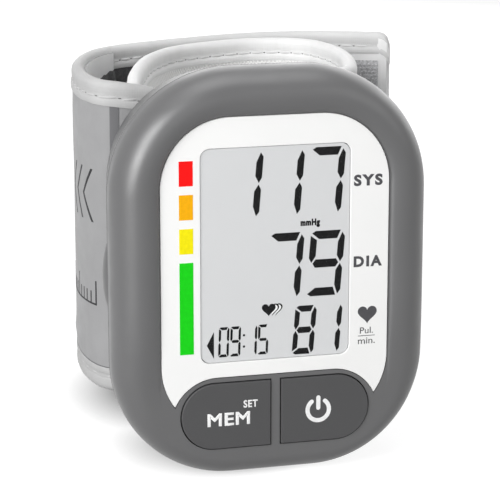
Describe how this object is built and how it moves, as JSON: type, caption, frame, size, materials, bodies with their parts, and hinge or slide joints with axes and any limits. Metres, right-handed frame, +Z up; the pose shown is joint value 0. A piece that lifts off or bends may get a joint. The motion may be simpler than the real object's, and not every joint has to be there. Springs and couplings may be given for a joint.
{
  "type": "wrist blood pressure monitor",
  "caption": "Rounded upright case with a large display and a pill of push buttons, backed by a bound, stitched wrist cuff that closes with a hook-and-loop strap.",
  "frame": {"origin": "middle of the flat foot under the rear case, on the surface that the monitor stands on", "axes": "+Z up along the case, -Y out of the display, +X to the right as the display is read"},
  "size_m": [0.0876, 0.0918, 0.0886],
  "materials": {
    "case_grey": "satin moulded plastic, mid grey",
    "key_grey": "satin moulded plastic, darker grey",
    "panel_white": "smooth white panel with printed marks",
    "clear_window": "clear flat window",
    "display_grey": "pale grey liquid crystal display",
    "dark_plastic": "dark moulded plastic",
    "dark_rubber": "dark soft rubber",
    "board_green": "green circuit board",
    "steel": "plain bright steel",
    "cell_wrap": "wrapped dry cell",
    "air_tube": "milky silicone tube",
    "cuff_cloth": "light grey coated cloth, smooth",
    "cuff_mesh": "white woven mesh lining",
    "cuff_binding": "pale grey folded binding tape, stitched",
    "hook_tape": "grey hook tape"
  },
  "bodies": {
    "monitor": {"front_case": "case_grey", "rear_case": "case_grey", "battery_1": "cell_wrap", "battery_2": "cell_wrap", "battery_link": "steel", "battery_contact_positive": "steel", "battery_contact_negative": "steel", "face_panel": "panel_white", "display_window": "clear_window", "lcd_glass": "display_grey", "lcd_holder": "dark_plastic", "display_connector": "dark_rubber", "main_board": "board_green", "controller_chip": "dark_plastic", "buzzer": "dark_plastic", "memory_switch_base": "dark_plastic", "power_switch_base": "dark_plastic", "pump_motor": "steel", "pump_head": "dark_plastic", "pump_sleeve": "dark_rubber", "air_manifold": "dark_plastic", "pressure_sensor": "dark_plastic", "valve_body": "steel", "pump_tube": "air_tube", "valve_tube": "air_tube", "cuff_cover": "cuff_cloth", "cuff_curler": "dark_plastic", "cuff_bladder": "dark_rubber", "cuff_lining": "cuff_mesh", "cuff_binding_upper": "cuff_binding", "cuff_binding_lower": "cuff_binding", "strap_root": "cuff_cloth", "case_screw_1": "steel", "case_screw_2": "steel", "case_screw_3": "steel", "case_screw_4": "steel", "board_screw_1": "steel", "board_screw_2": "steel", "cuff_screw_1": "steel", "cuff_screw_2": "steel"},
    "memory_button": {"memory_button": "key_grey"},
    "memory_plunger": {"memory_switch_plunger": "steel"},
    "power_button": {"power_button": "key_grey"},
    "power_plunger": {"power_switch_plunger": "steel"},
    "rotor": {"pump_rotor": "steel"},
    "valve_plunger": {"valve_plunger": "steel"},
    "battery_door": {"battery_door": "case_grey"},
    "strap_side": {"strap_side": "cuff_cloth"},
    "strap_tail": {"strap_tail": "cuff_cloth", "hook_patch": "hook_tape"}
  },
  "joints": [
    {"name": "memory_press", "type": "slide", "parent": "monitor", "child": "memory_button", "axis": [0, 1, 0], "range_m": [0, 0.0006], "stiffness_N_per_m": 1500},
    {"name": "memory_switch_travel", "type": "slide", "parent": "monitor", "child": "memory_plunger", "axis": [0, 1, 0], "range_m": [0, 0.0006]},
    {"name": "power_press", "type": "slide", "parent": "monitor", "child": "power_button", "axis": [0, 1, 0], "range_m": [0, 0.0006], "stiffness_N_per_m": 1500},
    {"name": "power_switch_travel", "type": "slide", "parent": "monitor", "child": "power_plunger", "axis": [0, 1, 0], "range_m": [0, 0.0006]},
    {"name": "motor_spin", "type": "hinge", "parent": "monitor", "child": "rotor", "pos_m": [0.02038, 0.0012, 0.0523], "axis": [0, 0, 1], "continuous": true},
    {"name": "valve_stroke", "type": "slide", "parent": "monitor", "child": "valve_plunger", "axis": [0, 0, 1], "range_m": [0, 0.001], "stiffness_N_per_m": 300},
    {"name": "door_slide", "type": "slide", "parent": "monitor", "child": "battery_door", "axis": [-1, 0, 0], "range_m": [0, 0.012]},
    {"name": "strap_swing", "type": "hinge", "parent": "monitor", "child": "strap_side", "pos_m": [-0.0312, 0.01243, 0.0484], "axis": [0, 0, 1], "range_deg": [0, 60]},
    {"name": "strap_peel", "type": "hinge", "parent": "strap_side", "child": "strap_tail", "pos_m": [-0.0269, 0.05376, 0.0484], "axis": [0, 0, 1], "range_deg": [0, 70]}
  ],
  "couplings": [
    {"joint": "memory_switch_travel", "follows": "memory_press", "ratio": 1},
    {"joint": "power_switch_travel", "follows": "power_press", "ratio": 1}
  ]
}
